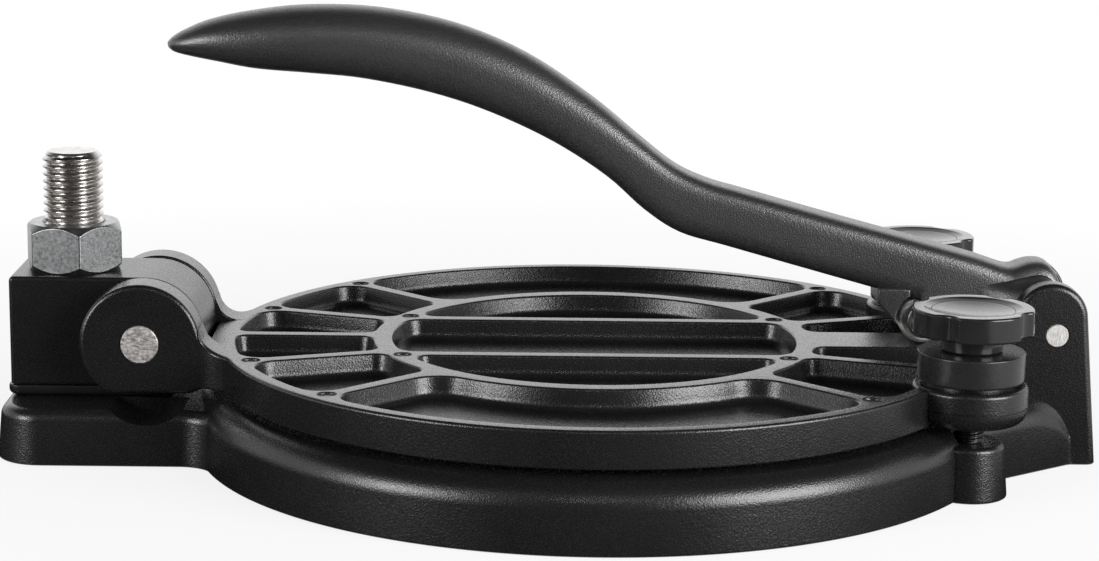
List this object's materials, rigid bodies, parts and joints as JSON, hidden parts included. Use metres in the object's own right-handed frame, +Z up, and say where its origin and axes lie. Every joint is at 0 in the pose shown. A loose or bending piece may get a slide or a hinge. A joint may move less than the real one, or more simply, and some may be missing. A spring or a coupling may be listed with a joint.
{
  "type": "tortilla press",
  "caption": "Cast tortilla press with a hinged ribbed upper plate, a curved roller lever and adjustable height knobs.",
  "frame": {"origin": "point on the common axis of the two plates, in the plane of the table, at the base's centre foot", "axes": "+Z up along the plates' axis, +X from the hinge block towards the lever's pivot, -Y the side the user faces"},
  "size_m": [0.3683, 0.2702, 0.1493],
  "materials": {
    "cast_black": "satin black powder coat on cast aluminium",
    "lever_black": "textured satin black powder coat on cast aluminium",
    "bright_steel": "bright turned stainless steel",
    "zinc_steel": "zinc-plated steel",
    "knob_black": "gloss black moulded plastic",
    "cap_black": "satin-gloss black plastic",
    "ring_black": "satin black plastic"
  },
  "bodies": {
    "base": {"base_casting": "cast_black", "hinge_block": "cast_black", "spacer_plate": "cast_black", "hinge_stud": "bright_steel", "stud_lock_nut": "zinc_steel", "lever_pin": "bright_steel"},
    "upper_nut": {"stud_nut": "zinc_steel"},
    "upper_plate": {"upper_plate": "cast_black", "hinge_pin": "bright_steel"},
    "lever": {"lever": "lever_black", "roller_pin": "bright_steel"},
    "roller": {"roller": "bright_steel"},
    "spindle_front": {"spindle_front": "zinc_steel"},
    "spindle_rear": {"spindle_rear": "zinc_steel"},
    "knob_front": {"knob_front": "knob_black", "knob_cap_front": "cap_black"},
    "knob_rear": {"knob_rear": "knob_black", "knob_cap_rear": "cap_black"},
    "lock_ring_front": {"lock_ring_front": "ring_black"},
    "lock_ring_rear": {"lock_ring_rear": "ring_black"}
  },
  "joints": [
    {"name": "lever_hinge", "type": "hinge", "parent": "base", "child": "lever", "pos_m": [0.1534, 0, 0.0443], "axis": [0, 1, 0], "range_deg": [0, 160]},
    {"name": "plate_hinge", "type": "hinge", "parent": "base", "child": "upper_plate", "pos_m": [-0.1507, 0, 0.0394], "axis": [0, -1, 0], "range_deg": [0, 20]},
    {"name": "roller_spin", "type": "hinge", "parent": "lever", "child": "roller", "pos_m": [0.1115, 0, 0.0455], "axis": [0, 1, 0], "continuous": true},
    {"name": "stud_nut_lift", "type": "slide", "parent": "base", "child": "upper_nut", "axis": [0, 0, 1], "range_m": [0, 0.024]},
    {"name": "spindle_front_travel", "type": "slide", "parent": "upper_plate", "child": "spindle_front", "axis": [0, 0, 1], "range_m": [0, 0.006]},
    {"name": "knob_front_turn", "type": "hinge", "parent": "spindle_front", "child": "knob_front", "pos_m": [0.119, -0.062, 0.057], "axis": [0, 0, 1], "range_deg": [0, 1440]},
    {"name": "lock_ring_front_turn", "type": "hinge", "parent": "upper_plate", "child": "lock_ring_front", "pos_m": [0.119, -0.062, 0.043], "axis": [0, 0, 1], "range_deg": [0, 360]},
    {"name": "spindle_rear_travel", "type": "slide", "parent": "upper_plate", "child": "spindle_rear", "axis": [0, 0, 1], "range_m": [0, 0.006]},
    {"name": "knob_rear_turn", "type": "hinge", "parent": "spindle_rear", "child": "knob_rear", "pos_m": [0.119, 0.062, 0.057], "axis": [0, 0, 1], "range_deg": [0, 1440]},
    {"name": "lock_ring_rear_turn", "type": "hinge", "parent": "upper_plate", "child": "lock_ring_rear", "pos_m": [0.119, 0.062, 0.043], "axis": [0, 0, 1], "range_deg": [0, 360]}
  ],
  "couplings": [
    {"joint": "plate_hinge", "follows": "lever_hinge", "ratio": 0.12},
    {"joint": "spindle_front_travel", "follows": "knob_front_turn", "m_per_rad": 0.00023873},
    {"joint": "spindle_rear_travel", "follows": "knob_rear_turn", "m_per_rad": 0.00023873}
  ]
}
